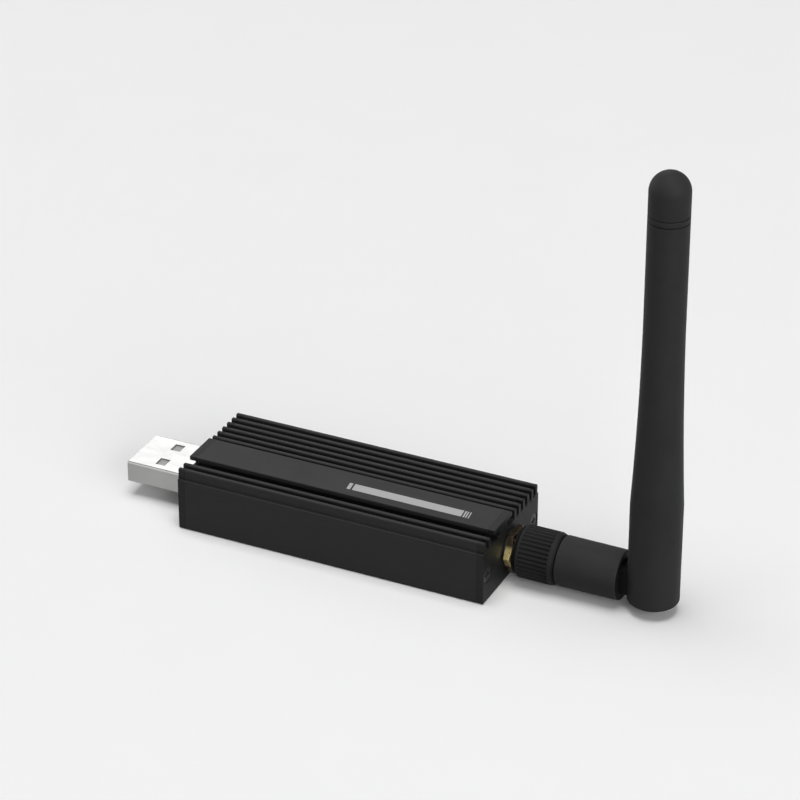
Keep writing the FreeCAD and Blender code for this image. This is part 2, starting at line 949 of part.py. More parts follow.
# An open ring that holds the coupling nut on the ferrule
def nut_retaining_ring():
    start = jack_face + ring_groove_start + (ring_groove_width - ring_thickness) / 2
    inner = ferrule_radius - ring_groove_depth + ring_clearance
    outer = ferrule_radius + ring_groove_depth - ring_clearance
    face = outline(
        [
            (start, inner, 0),
            (start + ring_thickness, inner, 0),
            (start + ring_thickness, outer, 0),
            (start, outer, 0),
        ],
        lambda p: Vector(p.x, 0, axis_height + p.y),
    )
    ring = face.revolve(Vector(0, 0, axis_height), Vector(1, 0, 0), 360 - ring_opening)
    ring.rotate(Vector(0, 0, axis_height), Vector(1, 0, 0), ring_opening / 2)
    return ring


# Brass nut: threaded over the jack in front, running on the ferrule behind
def coupling_nut():
    front = coupling_start + coupling_nut_recess
    end = coupling_start + coupling_nut_length
    nut = hexagon(coupling_nut_flats, front, end)
    thread = thread_radius + thread_clearance
    run = ferrule_radius + connector_clearance
    ring_start = jack_face + ring_groove_start
    ring_end = ring_start + ring_groove_width
    ring_roof = ferrule_radius + ring_groove_depth
    thread_end = jack_end + coupling_nut_relief
    hollow = turned([
        (front, 0, 0),
        (front, thread + coupling_nut_lead_in, 0),
        (front + coupling_nut_lead_in, thread, 0),
        (thread_end, thread, 0),
        (thread_end, run, 0),
        (ring_start, run, 0),
        (ring_start, ring_roof, 0),
        (ring_end, ring_roof, 0),
        (ring_end, run, 0),
        (end, run, 0),
        (end, 0, 0),
    ])
    return nut.cut(hollow)


# Knurled plastic jacket, pressed over the brass nut from behind
def coupling_nut_jacket():
    nut_end = coupling_start + coupling_nut_length
    front = coupling_start
    lip_end = front + jacket_lip_length
    body = turned([
        (front, 0, 0),
        (front, jacket_lip_radius, jacket_lip_edge),
        (lip_end, jacket_lip_radius, 0),
        (lip_end + jacket_front_taper, jacket_radius, 0),
        (coupling_end - jacket_end_taper, jacket_radius, jacket_shoulder_radius),
        (coupling_end, jacket_end_radius, jacket_end_edge),
        (coupling_end, 0, 0),
    ])
    pocket = hexagon(coupling_nut_flats, front, nut_end)
    bore = rod(front, coupling_end, jacket_bore_radius)
    flute_start = front + flute_setback
    flute_end = coupling_end - flute_end_band
    flute_centre = jacket_radius - flute_depth + flute_radius
    flutes = []
    for number in range(flute_count):
        angle = 2 * math.pi * (number + 0.5) / flute_count
        y = flute_centre * math.sin(angle)
        z = axis_height + flute_centre * math.cos(angle)
        flutes.append(rod(flute_start, flute_end, flute_radius, z, y))
    return body.cut([pocket, bore] + flutes)


# Barrel with the tongue and trunnions of the knuckle, moulded as one
def antenna_barrel():
    end = barrel_end
    body = turned([
        (barrel_start, 0, 0),
        (barrel_start, barrel_radius, barrel_front_edge),
        (end, barrel_end_radius, barrel_end_edge),
        (end, 0, 0),
    ])
    half_height = tongue_height / 2
    half_thickness = tongue_thickness / 2
    tongue = crosswise(
        [
            (end - tongue_root, axis_height - half_height, 0),
            (knuckle + half_height, axis_height - half_height, half_height),
            (knuckle + half_height, axis_height + half_height, half_height),
            (end - tongue_root, axis_height + half_height, 0),
        ],
        -half_thickness,
        half_thickness,
    )
    trunnion_end = half_thickness + trunnion_reach
    trunnions = cross_rod(-trunnion_end, trunnion_end, trunnion_radius)
    shell = joined([body, tongue, trunnions])
    return shell.cut([ferrule_pocket(), cable_channel()])


# The ferrule's pocket has a rib that snaps into the ferrule's swivel groove
def ferrule_pocket():
    run = ferrule_radius + connector_clearance
    rib_start = jack_face + swivel_groove_start + connector_clearance
    rib_end = rib_start + swivel_groove_width - 2 * connector_clearance
    rib_radius = ferrule_radius - swivel_groove_depth + connector_clearance
    end = jack_face + ferrule_end + connector_clearance
    crimp_end = end + crimp_length
    crimp = crimp_radius + connector_clearance
    return turned([
        (barrel_start, 0, 0),
        (barrel_start, run, 0),
        (rib_start, run, 0),
        (rib_start, rib_radius, 0),
        (rib_end, rib_radius, 0),
        (rib_end, run, 0),
        (end, run, 0),
        (end, crimp, 0),
        (crimp_end, crimp, 0),
        (crimp_end, 0, 0),
    ])


# The cable's channel opens upwards and forwards in the tongue, so that the cable can bend
def cable_channel():
    half_channel = cable_channel_width / 2
    bore = rod(jack_face + ferrule_end, knuckle, half_channel)
    reach = tongue_height
    y_range = (-half_channel, half_channel)
    start = knuckle - cable_bend_radius - cable_channel_margin
    opening = box((start, knuckle + reach), y_range, (axis_height - half_channel, axis_height + reach))
    roof_bottom = axis_height + cable_channel_roof
    roof = box((start, knuckle - half_channel), y_range, (roof_bottom, axis_height + reach))
    return bore.fuse(opening.cut(roof))


# Inner cable: straight in the barrel, one bend at the knuckle, straight up the whip
def antenna_cable():
    start = insulator_end
    bend_start = knuckle - cable_bend_radius
    bend_top = axis_height + cable_bend_radius
    along = rod(start, bend_start, cable_radius)
    section = Part.Face(Part.Wire(Part.makeCircle(
        cable_radius, Vector(bend_start, 0, axis_height), Vector(1, 0, 0))))
    bend = section.revolve(Vector(bend_start, 0, bend_top), Vector(0, 1, 0), -90)
    up = upright_rod(bend_top, dipole_feed + dipole_end_wall, cable_radius)
    return joined([along, bend, up])


# Whip

def whip_outer():
    low = outline(
        [
            (0, whip_bottom, 0),
            (whip_radius, whip_bottom, whip_bottom_edge),
            (whip_radius, whip_taper_start, 0),
            (0, whip_taper_start, 0),
        ],
        lambda p: Vector(knuckle + p.x, 0, p.y),
    )
    taper_middle = (whip_taper_start + whip_taper_end) / 2
    curve = Part.BezierCurve()
    curve.setPoles([
        Vector(knuckle + whip_radius, 0, whip_taper_start),
        Vector(knuckle + whip_top_radius, 0, taper_middle),
        Vector(knuckle + whip_top_radius, 0, whip_taper_end),
    ])
    seam_bevel = cap_groove_depth
    straight = Part.makePolygon([
        Vector(knuckle + whip_top_radius, 0, whip_taper_end),
        Vector(knuckle + whip_top_radius, 0, cap_seam_height - seam_bevel),
        Vector(knuckle + whip_top_radius - seam_bevel, 0, cap_seam_height),
        Vector(knuckle, 0, cap_seam_height),
        Vector(knuckle, 0, whip_taper_start),
        Vector(knuckle + whip_radius, 0, whip_taper_start),
    ])
    high = Part.Face(Part.Wire([curve.toShape()] + straight.Edges))
    solids = []
    for face in (low, high):
        solids.append(face.revolve(Vector(knuckle, 0, 0), Vector(0, 0, 1), 360))
    return joined(solids)


# The fork's slot is open towards the barrel and below, over the whole sweep of the tongue
def fork_slot():
    half_gap = tongue_thickness / 2 + tongue_side_clearance
    reach = tongue_height / 2 + knuckle_clearance
    far = whip_radius + 2
    sweep = cross_rod(-half_gap, half_gap, reach)
    beside = box((knuckle - far, knuckle), (-half_gap, half_gap), (axis_height - far, axis_height + reach))
    below = box((knuckle - far, knuckle + reach), (-half_gap, half_gap), (axis_height - far, axis_height))
    return joined([sweep, beside, below])


def whip_sleeve():
    socket_end = tongue_thickness / 2 + trunnion_reach + trunnion_end_gap
    sockets = cross_rod(-socket_end, socket_end, trunnion_radius + trunnion_clearance)
    cable_hole = upright_rod(axis_height, whip_bore_start, cable_channel_width / 2)
    bore = upright_rod(whip_bore_start, cap_seam_height, whip_bore_radius)
    return whip_outer().cut([fork_slot(), sockets, cable_hole, bore])


def tip_cap():
    bevel = cap_groove_depth
    radius = whip_top_radius
    dome_base = whip_top_height - radius
    edges = Part.makePolygon([
        Vector(knuckle, 0, whip_top_height),
        Vector(knuckle, 0, cap_seam_height),
        Vector(knuckle + radius - bevel, 0, cap_seam_height),
        Vector(knuckle + radius, 0, cap_seam_height + bevel),
        Vector(knuckle + radius, 0, cap_groove_height - bevel),
        Vector(knuckle + radius - bevel, 0, cap_groove_height),
        Vector(knuckle + radius, 0, cap_groove_height + bevel),
        Vector(knuckle + radius, 0, dome_base),
    ])
    slant = radius * math.sqrt(0.5)
    dome = Part.Arc(
        Vector(knuckle + radius, 0, dome_base),
        Vector(knuckle + slant, 0, dome_base + slant),
        Vector(knuckle, 0, whip_top_height),
    )
    face = Part.Face(Part.Wire(edges.Edges + [dome.toShape()]))
    cap = face.revolve(Vector(knuckle, 0, 0), Vector(0, 0, 1), 360)
    spigot_radius = whip_bore_radius - cap_spigot_clearance
    spigot = upright_rod(cap_seam_height - cap_spigot_length, dome_base, spigot_radius)
    hollow_radius = spigot_radius - cap_spigot_wall
    hollow = upright_rod(cap_seam_height - cap_spigot_length, dome_base, hollow_radius)
    hollow_end = Part.makeSphere(hollow_radius, Vector(knuckle, 0, dome_base))
    return joined([cap, spigot]).cut([hollow, hollow_end])


# The lower half of the dipole: a brass tube, closed on top, soldered to the cable's braid
def dipole_sleeve():
    tube = upright_rod(dipole_start, dipole_feed, dipole_radius)
    hollow = upright_rod(dipole_start, dipole_feed - dipole_end_wall, dipole_radius - dipole_wall)
    hole = upright_rod(dipole_start, dipole_feed, cable_radius)
    return tube.cut([hollow, hole])


def dipole_wire():
    return upright_rod(dipole_feed + dipole_end_wall, dipole_end, dipole_wire_radius)


pieces = {
    "finned_housing": finned_housing,
    "usb_end_plate": usb_end_plate,
    "antenna_end_plate": antenna_end_plate,
    "end_plate_screws": end_plate_screws,
    "circuit_board": circuit_board,
    "radio_chip": radio_chip,
    "usb_bridge_chip": usb_bridge_chip,
    "voltage_regulator": voltage_regulator,
    "main_crystal": main_crystal,
    "clock_crystal": clock_crystal,
    "status_lamps": status_lamps,
    "capacitors": capacitors,
    "resistors": resistors,
    "switch_frames": switch_frames,
    "boot_button": boot_button,
    "reset_button": reset_button,
    "usb_plug_shell": usb_plug_shell,
    "usb_plug_insulator": usb_plug_insulator,
    "usb_contacts": usb_contacts,
    "jack_body": jack_body,
    "jack_insulator": jack_insulator,
    "jack_contact": jack_contact,
    "jack_lock_washer": jack_lock_washer,
    "jack_hex_nut": jack_hex_nut,
    "connector_ferrule": connector_ferrule,
    "connector_insulator": connector_insulator,
    "connector_pin": connector_pin,
    "nut_retaining_ring": nut_retaining_ring,
    "coupling_nut": coupling_nut,
    "coupling_nut_jacket": coupling_nut_jacket,
    "antenna_barrel": antenna_barrel,
    "antenna_cable": antenna_cable,
    "whip_sleeve": whip_sleeve,
    "tip_cap": tip_cap,
    "dipole_sleeve": dipole_sleeve,
    "dipole_wire": dipole_wire,
}

os.makedirs("parts", exist_ok=True)
for name, make in pieces.items():
    shape = make()
    shape.exportStep(os.path.join("parts", name + ".step"))
    print(name, len(shape.Solids), "solids, volume", round(shape.Volume, 2), "valid", shape.isValid())
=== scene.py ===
import bpy
import bmesh
import math
from mathutils import Matrix, Vector


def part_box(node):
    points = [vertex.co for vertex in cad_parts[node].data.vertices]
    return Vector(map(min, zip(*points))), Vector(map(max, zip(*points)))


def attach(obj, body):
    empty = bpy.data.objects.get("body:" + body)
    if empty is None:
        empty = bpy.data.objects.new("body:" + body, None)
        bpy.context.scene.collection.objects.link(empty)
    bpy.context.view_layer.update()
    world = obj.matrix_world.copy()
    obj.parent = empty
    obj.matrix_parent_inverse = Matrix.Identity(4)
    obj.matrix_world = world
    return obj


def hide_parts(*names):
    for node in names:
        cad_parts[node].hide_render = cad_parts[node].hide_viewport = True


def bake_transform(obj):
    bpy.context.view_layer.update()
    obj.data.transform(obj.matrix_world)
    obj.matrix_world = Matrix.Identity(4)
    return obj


# A finned radio stick with a screw-on antenna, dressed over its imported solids.
# Metres throughout: +X from the plug to the antenna, +Z up.

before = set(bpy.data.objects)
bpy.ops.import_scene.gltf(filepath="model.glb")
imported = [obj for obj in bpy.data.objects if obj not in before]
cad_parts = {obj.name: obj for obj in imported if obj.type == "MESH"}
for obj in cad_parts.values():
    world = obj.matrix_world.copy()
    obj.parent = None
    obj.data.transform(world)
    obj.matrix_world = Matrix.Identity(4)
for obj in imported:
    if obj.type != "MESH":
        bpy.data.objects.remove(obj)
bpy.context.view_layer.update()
scene = bpy.context.scene
mm = 0.001
jackAxis = (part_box("jack_body")[0].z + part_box("jack_body")[1].z) / 2
print("frame loaded,", len(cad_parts), "nodes")


# Nodes of a material

def addNode(tree, kind, values=None, **settings):
    node = tree.nodes.new(kind)
    for name, value in settings.items():
        setattr(node, name, value)
    for name, value in (values or {}).items():
        node.inputs[name].default_value = value
    return node


def startMaterial(name, look):
    material = bpy.data.materials.new(name)
    material.use_nodes = True
    tree = material.node_tree
    shader = tree.nodes["Principled BSDF"]
    shader.inputs["Metallic"].default_value = look.get("metallic", 0.0)
    shader.inputs["Specular IOR Level"].default_value = look.get("specular", 0.5)
    return material, tree, shader


# Object coordinates in metres, moved to a centre and stretched
def placeVector(tree, centre=(0, 0, 0), stretch=(1, 1, 1)):
    coordinates = addNode(tree, "ShaderNodeTexCoord")
    mapping = addNode(tree, "ShaderNodeMapping", {"Scale": stretch})
    mapping.inputs["Location"].default_value = [-c * s for c, s in zip(centre, stretch)]
    tree.links.new(coordinates.outputs["Object"], mapping.inputs["Vector"])
    return mapping.outputs["Vector"]


def splitVector(tree, vector):
    parts = addNode(tree, "ShaderNodeSeparateXYZ")
    tree.links.new(vector, parts.inputs["Vector"])
    return parts.outputs


def noise(tree, vector, scale, detail=3.0):
    values = {"Scale": scale, "Detail": detail, "Roughness": 0.6}
    texture = addNode(tree, "ShaderNodeTexNoise", values)
    tree.links.new(vector, texture.inputs["Vector"])
    return texture.outputs["Fac"]


def spread(tree, source, low, high, fromLow=0.3, fromHigh=0.7):
    values = {"From Min": fromLow, "From Max": fromHigh, "To Min": low, "To Max": high}
    ranged = addNode(tree, "ShaderNodeMapRange", values)
    tree.links.new(source, ranged.inputs["Value"])
    return ranged.outputs["Result"]


def mixColours(tree, factor, first, second):
    mix = addNode(tree, "ShaderNodeMix", data_type="RGBA")
    tree.links.new(factor, mix.inputs["Factor"])
    for socket, colour in ((mix.inputs[6], first), (mix.inputs[7], second)):
        if isinstance(colour, bpy.types.NodeSocket):
            tree.links.new(colour, socket)
        else:
            socket.default_value = (*colour, 1)
    return mix.outputs[2]


def calculate(tree, operation, first, second=0):
    node = addNode(tree, "ShaderNodeMath", operation=operation)
    for socket, value in zip(node.inputs, (first, second)):
        if isinstance(value, bpy.types.NodeSocket):
            tree.links.new(value, socket)
        else:
            socket.default_value = value
    return node.outputs[0]


def average(tree, first, second):
    return calculate(tree, "MULTIPLY", calculate(tree, "ADD", first, second), 0.5)


# The first value and a share of the second
def addShare(tree, first, second, share):
    return calculate(tree, "ADD", first, calculate(tree, "MULTIPLY", second, share))


def addBump(tree, shader, height, depth):
    bump = addNode(tree, "ShaderNodeBump", {"Distance": depth, "Strength": 1.0})
    tree.links.new(height, bump.inputs["Height"])
    tree.links.new(bump.outputs["Normal"], shader.inputs["Normal"])


def linkTone(tree, shader, colour, tone, roughness):
    tree.links.new(colour, shader.inputs["Base Color"])
    tree.links.new(spread(tree, tone, *roughness), shader.inputs["Roughness"])


# Black anodised extrusion: drawn lines along X, a fine etched grain and faint cloudiness
anodisedLook = {
    "dark": (0.0112, 0.0112, 0.0116),
    "light": (0.0162, 0.0162, 0.0167),
    "specular": 0.18,
    "roughness": (0.46, 0.6),
    "cloudScale": 90,
    "lineScale": 2600,
    "lineStretch": 0.012,
    "lineShare": 0.6,
    "grainScale": 7000,
    "grainDepth": 0.006 * mm,
}

# The end plates are a darker copy of the extrusion's black, with painted shade for their end
# faces
shadedPlateTone = {
    "dark": (0.0055, 0.0055, 0.0058),
    "light": (0.0077, 0.0077, 0.0081),
    "lineStretch": 0.5,
}


def anodisedFinish(name, look):
    material, tree, shader = startMaterial(name, look)
    plain = placeVector(tree)
    drawn = placeVector(tree, stretch=(look["lineStretch"], 1, 1))
    lines = noise(tree, drawn, look["lineScale"])
    clouds = noise(tree, plain, look["cloudScale"])
    grain = noise(tree, plain, look["grainScale"])
    tone = average(tree, lines, clouds)
    colour = mixColours(tree, spread(tree, tone, 0, 1), look["dark"], look["light"])
    linkTone(tree, shader, colour, tone, look["roughness"])
    addBump(tree, shader, addShare(tree, grain, lines, look["lineShare"]), look["grainDepth"])
    return material


# Black moulded plastic with the fine grain of a spark-eroded mould.
# The lines are the heights of the cap's joint and groove, dark with painted shade and dirt to
# half their width.
mouldedLook = {
    "dark": (0.027, 0.027, 0.0278),
    "light": (0.0328, 0.0328, 0.0336),
    "specular": 0.06,
    "roughness": (0.48, 0.6),
    "cloudScale": 120,
    "cloudShare": 0.7,
    "pitScale": 9000,
    "pitShare": 0.3,
    "pitDepth": 0.01 * mm,
    "shadeTone": 0.25,
    "lines": (81.32 * mm, 82.54 * mm),
    "lineHalf": (0.08 * mm, 0.112 * mm),
}

# The knurled jacket is of a slightly darker plastic, with painted shade down in its flutes
knurledTone = {
    "dark": (0.0175, 0.0175, 0.018),
    "light": (0.0225, 0.0225, 0.023),
    "shadeTone": 0.4,
    "flutes": (4.88 * mm, 5.0 * mm),
}

# Painted shade: the barrel's end and the tongue beyond it are darkened where they sit in the
# knuckle's shade
barrelTone = {
    "knuckleShade": (55.86 * mm, 55.96 * mm),
}


def mouldedFinish(name, look):
    material, tree, shader = startMaterial(name, look)
    plain = placeVector(tree)
    place = splitVector(tree, plain)
    clouds = noise(tree, plain, look["cloudScale"])
    pitting = addNode(tree, "ShaderNodeTexVoronoi", feature="SMOOTH_F1")
    pitting.inputs["Scale"].default_value = look["pitScale"]
    tree.links.new(plain, pitting.inputs["Vector"])
    pits = pitting.outputs["Distance"]
    # The colour of painted shade, used on the joint lines, in the flutes and at the knuckle
    paintedShade = [tone * look["shadeTone"] for tone in look["dark"]]
    colour = mixColours(tree, spread(tree, clouds, 0, 1), look["dark"], look["light"])
    above = [calculate(tree, "SUBTRACT", place["Z"], height) for height in look["lines"]]
    away = calculate(tree, "MINIMUM", *[calculate(tree, "ABSOLUTE", value) for value in above])
    colour = mixColours(tree, spread(tree, away, 1, 0, *look["lineHalf"]), colour, paintedShade)
    # Painted shade down in the jacket's flutes, inside the given radius
    if "flutes" in look:
        across = placeVector(tree, centre=(0, 0, jackAxis), stretch=(0, 1, 1))
        reach = addNode(tree, "ShaderNodeVectorMath", operation="LENGTH")
        tree.links.new(across, reach.inputs[0])
        unshaded = spread(tree, reach.outputs["Value"], 0, 1, *look["flutes"])
        colour = mixColours(tree, unshaded, paintedShade, colour)
    # Painted shade on the barrel's end and the tongue, from this X onwards
    if "knuckleShade" in look:
        knuckleShade = spread(tree, place["X"], 0, 1, *look["knuckleShade"])
        colour = mixColours(tree, knuckleShade, colour, paintedShade)
    tone = calculate(tree, "MULTIPLY", clouds, look["cloudShare"])
    tone = addShare(tree, tone, pits, look["pitShare"])
    linkTone(tree, shader, colour, tone, look["roughness"])
    addBump(tree, shader, pits, look["pitDepth"])
    return material


# Nickel on rolled steel: rolling lines along X, light smears where it has been held
nickelLook = {
    "dark": (0.31, 0.31, 0.307),
    "light": (0.37, 0.37, 0.366),
    "metallic": 1.0,
    "roughness": (0.14, 0.26),
    "lineScale": 4200,
    "lineStretch": 0.02,
    "lineDepth": 0.0015 * mm,
    "smearScale": 260,
    "smearStretch": 0.5,
    "smearDetail": 4.0,
}


def nickelFinish(name, look):
    material, tree, shader = startMaterial(name, look)
    rolled = placeVector(tree, stretch=(look["lineStretch"], 1, 1))
    lines = noise(tree, rolled, look["lineScale"])
    held = placeVector(tree, stretch=(look["smearStretch"], 1, 1))
    smears = noise(tree, held, look["smearScale"], look["smearDetail"])
    colour = mixColours(tree, spread(tree, smears, 0, 1), look["light"], look["dark"])
    linkTone(tree, shader, colour, average(tree, lines, smears), look["roughness"])
    addBump(tree, shader, lines, look["lineDepth"])
    return material


# Turned metal: rings from the lathe round the jack's axis, and a slight tarnish
goldLook = {
    "dark": (0.7, 0.54, 0.22),
    "light": (0.86, 0.72, 0.36),
    "metallic": 1.0,
    "roughness": (0.2, 0.32),
    "rings": {"Scale": 2600, "Distortion": 1.5, "Detail": 2.0},
    "ringDepth": 0.0006 * mm,
    "tarnishScale": 420,
}


def turnedFinish(name, look):
    material, tree, shader = startMaterial(name, look)
    centred = placeVector(tree, centre=(0, 0, jackAxis))
    wave = {"wave_type": "RINGS", "rings_direction": "X"}
    rings = addNode(tree, "ShaderNodeTexWave", look["rings"], **wave)
    tree.links.new(centred, rings.inputs["Vector"])
    tarnish = noise(tree, centred, look["tarnishScale"])
    colour = mixColours(tree, spread(tree, tarnish, 0, 1), look["light"], look["dark"])
    linkTone(tree, shader, colour, tarnish, look["roughness"])
    addBump(tree, shader, rings.outputs["Fac"], look["ringDepth"])
    return material


# The panel nut's plating is dulled, with painted shade in dark brown above and below the middle
nutLook = {
    "dark": (0.66, 0.52, 0.2),
    "light": (0.92, 0.78, 0.38),
    "metallic": 0.72,
    "roughness": (0.24, 0.36),
    "speckleScale": 700,
    "speckleDepth": 0.001 * mm,
    "shadeBrown": (0.055, 0.04, 0.022),
    "shadeHeight": (1.7 * mm, 2.6 * mm),
    "shadeWander": 0.4 * mm,
}


def nutFinish(name, look):
    material, tree, shader = startMaterial(name, look)
    centred = placeVector(tree, centre=(0, 0, jackAxis))
    speckle = noise(tree, centred, look["speckleScale"])
    colour = mixColours(tree, spread(tree, speckle, 0, 1), look["dark"], look["light"])
    # Painted shade: the nut turns dark brown away from the middle, above and below
    fromMiddle = calculate(tree, "ABSOLUTE", splitVector(tree, centred)["Z"])
    fromMiddle = addShare(tree, fromMiddle, speckle, look["shadeWander"])
    tarnish = spread(tree, fromMiddle, 0, 1, *look["shadeHeight"])
    colour = mixColours(tree, tarnish, colour, look["shadeBrown"])
    linkTone(tree, shader, colour, speckle, look["roughness"])
    addBump(tree, shader, speckle, look["speckleDepth"])
    return material


# Green solder mask with copper tracks showing through as a lighter green
boardLook = {
    "mask": (0.004, 0.03, 0.014),
    "track": (0.01, 0.075, 0.03),
    "roughness": (0.25, 0.4),
    "trackPitch": 1.27 * mm,
    "trackShare": 0.32,
    "trackDepth": 0.02 * mm,
    "wander": 2 * mm,
    "wanderScale": 150,
    "wanderStretch": (1, 0.2, 1),
}


def boardFinish(name, look):
    material, tree, shader = startMaterial(name, look)
    wander = noise(tree, placeVector(tree, stretch=look["wanderStretch"]), look["wanderScale"])
    across = addShare(tree, splitVector(tree, placeVector(tree))["Y"], wander, look["wander"])
    pitches = calculate(tree, "DIVIDE", across, look["trackPitch"])
    track = calculate(tree, "LESS_THAN", calculate(tree, "FRACT", pitches), look["trackShare"])
    colour = mixColours(tree, track, look["mask"], look["track"])
    linkTone(tree, shader, colour, wander, look["roughness"])
    addBump(tree, shader, track, look["trackDepth"])
    return material


# Finishes with a speckle: name, two tones, roughness, scale and, for metals, metallic share
speckled = {
    "blackSteel": (
        "blackOxide", (0.012, 0.012, 0.013), (0.022, 0.022, 0.023), (0.36, 0.5), 3000, 0.35,
    ),
    "print": ("greyPrint", (0.33, 0.33, 0.33), (0.4, 0.4, 0.4), (0.5, 0.65), 5000),
    "plugPlastic": ("plugInsulator", (0.3, 0.3, 0.3), (0.36, 0.36, 0.36), (0.4, 0.5), 2500),
    "chip": ("chipResin", (0.012, 0.012, 0.013), (0.022, 0.022, 0.023), (0.45, 0.6), 6000),
    "lamp": ("lampLens", (0.7, 0.75, 0.6), (0.85, 0.9, 0.75), (0.15, 0.25), 2000),
    "capacitor": ("capacitorCeramic", (0.28, 0.17, 0.09), (0.42, 0.28, 0.16), (0.45, 0.6), 3000),
    "resistor": ("resistorGlaze", (0.012, 0.012, 0.015), (0.03, 0.03, 0.035), (0.25, 0.4), 3000),
    "button": ("buttonPlastic", (0.02, 0.02, 0.02), (0.035, 0.035, 0.035), (0.4, 0.5), 4000),
    "bronze": ("springBronze", (0.42, 0.22, 0.1), (0.6, 0.36, 0.18), (0.25, 0.4), 2500, 1.0),
    "white": ("whiteInsulator", (0.74, 0.74, 0.72), (0.84, 0.84, 0.82), (0.4, 0.5), 2000),
    "cable": ("cableJacket", (0.11, 0.045, 0.02), (0.17, 0.075, 0.035), (0.2, 0.32), 1800),
    "copper": ("copperWire", (0.62, 0.24, 0.12), (0.8, 0.36, 0.2), (0.22, 0.35), 2500, 1.0),
}
speckleDepth = 0.003 * mm


def speckledFinish(name, dark, light, roughness, scale, metallic=0.0):
    material, tree, shader = startMaterial(name, {"metallic": metallic})
    speckle = noise(tree, placeVector(tree), scale)
    colour = mixColours(tree, spread(tree, speckle, 0, 1), dark, light)
    linkTone(tree, shader, colour, speckle, roughness)
    addBump(tree, shader, speckle, speckleDepth)
    return material


finishes = {
    "anodised": anodisedFinish("blackAnodised", anodisedLook),
    # Painted shade: the end plates take a darker copy of the anodised finish
    "plate": anodisedFinish("shadedPlate", anodisedLook | shadedPlateTone),
    "moulded": mouldedFinish("blackMoulded", mouldedLook),
    "barrel": mouldedFinish("blackBarrel", mouldedLook | barrelTone),
    "knurled": mouldedFinish("blackKnurled", mouldedLook | knurledTone),
    "nickel": nickelFinish("nickelPlate", nickelLook),
    "gold": turnedFinish("goldPlate", goldLook),
    "dullGold": nutFinish("dulledPlate", nutLook),
    "board": boardFinish("solderMask", boardLook),
}
for finish, values in speckled.items():
    finishes[finish] = speckledFinish(*values)
print("finishes made:", len(finishes))

# CAD nodes that stay as they are and only take a finish
plainNodes = {
    "board": ["circuit_board"],
    "chip": ["radio_chip", "usb_bridge_chip", "voltage_regulator"],
    "nickel": ["main_crystal", "clock_crystal", "switch_frames"],
    "lamp": ["status_lamps"],
    "capacitor": ["capacitors"],
    "resistor": ["resistors"],
    "button": ["boot_button", "reset_button"],
    "gold": [
        "usb_contacts", "jack_contact", "connector_pin", "connector_ferrule", "dipole_sleeve",
    ],
    "bronze": ["nut_retaining_ring"],
    "white": ["jack_insulator", "connector_insulator"],
    "copper": ["dipole_wire"],
}
for finish, names in plainNodes.items():
    for name in names:
        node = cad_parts[name]
        node.data.materials.clear()
        node.data.materials.append(finishes[finish])


# What counts as one point, on a line, a flat joint, an edge to break and a crease
meshLimits = {
    "samePoint": 0.0002 * mm,
    "onLine": 0.001 * mm,
    "flatAngle": 0.4,
    "edgeAngle": 32,
    "creaseAngle": 40,
}


def mergedCopy(name):
    work = bmesh.new()
    work.from_mesh(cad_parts[name].data)
    bmesh.ops.remove_doubles(work, verts=work.verts, dist=meshLimits["samePoint"])
    flat = math.radians(meshLimits["flatAngle"])
    bmesh.ops.dissolve_limit(work, angle_limit=flat, verts=work.verts, edges=work.edges)
    return work


def sharpEdges(work, angle):
    least = math.radians(angle)
    return [edge for edge in work.edges if edge.is_manifold and edge.calc_face_angle() > least]


def softenEdges(work, width, angle=meshLimits["edgeAngle"]):
    bmesh.ops.bevel(
        work,
        geom=sharpEdges(work, angle),
        offset=width,
        offset_type="OFFSET",
        segments=2,
        profile=0.5,
        affect="EDGES",
        clamp_overlap=True,
        material=-1,
    )


def cutAcross(work, point, normal):
    everything = work.verts[:] + work.edges[:] + work.faces[:]
    bmesh.ops.bisect_plane(work, geom=everything, plane_co=point, plane_no=normal)


def linkMesh(work, name, material):
    mesh = bpy.data.meshes.new(name)
    work.to_mesh(mesh)
    work.free()
    mesh.materials.append(material)
    linked = bpy.data.objects.new(name, mesh)
    scene.collection.objects.link(linked)
    return linked


def placePiece(work, name, body, finish, creaseAngle=meshLimits["creaseAngle"]):
    bmesh.ops.recalc_face_normals(work, faces=work.faces)
    for face in work.faces:
        face.smooth = True
    for edge in sharpEdges(work, creaseAngle):
        edge.smooth = False
    piece = linkMesh(work, name, finishes[finish])
    normals = piece.modifiers.new("evenNormals", "WEIGHTED_NORMAL")
    normals.keep_sharp = True
    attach(piece, body)
    return piece


def standFor(piece, node):
    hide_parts(node)


# Solids whose edges only need a softer break: name, body, finish, slot, edge width
softenedNodes = {
    "finned_housing": ("housing", "stick", "anodised", "black_aluminium", 0.03),
    "usb_end_plate": ("plugEndPlate", "stick", "plate", "black_aluminium", 0.06),
    "antenna_end_plate": ("antennaEndPlate", "stick", "plate", "black_aluminium", 0.06),
    "end_plate_screws": ("endPlateScrews", "stick", "blackSteel", "black_steel", 0.04),
    "usb_plug_insulator": ("plugInsulator", "stick", "plugPlastic", "plug_plastic", 0.05),
    "jack_lock_washer": ("jackLockWasher", "stick", "blackSteel", "black_steel", 0.04),
    "coupling_nut_jacket": (
        "knurledJacket", "coupling_nut", "knurled", "antenna_plastic", 0.05,
    ),
    "antenna_barrel": ("barrel", "elbow", "barrel", "antenna_plastic", 0.1),
    "whip_sleeve": ("whipSleeve", "whip", "moulded", "antenna_plastic", 0.15),
    "tip_cap": ("tipCap", "whip", "moulded", "antenna_plastic", 0.03),
}
for node, (name, body, finish, slot, width) in softenedNodes.items():
    work = mergedCopy(node)
    softenEdges(work, width * mm)
    standFor(placePiece(work, name, body, finish), node)
print("softened solids:", len(softenedNodes))


# The panel nut is tightened until one of its flats lies on top
hexNut = {
    "turn": 30,
    "edge": 0.06 * mm,
}


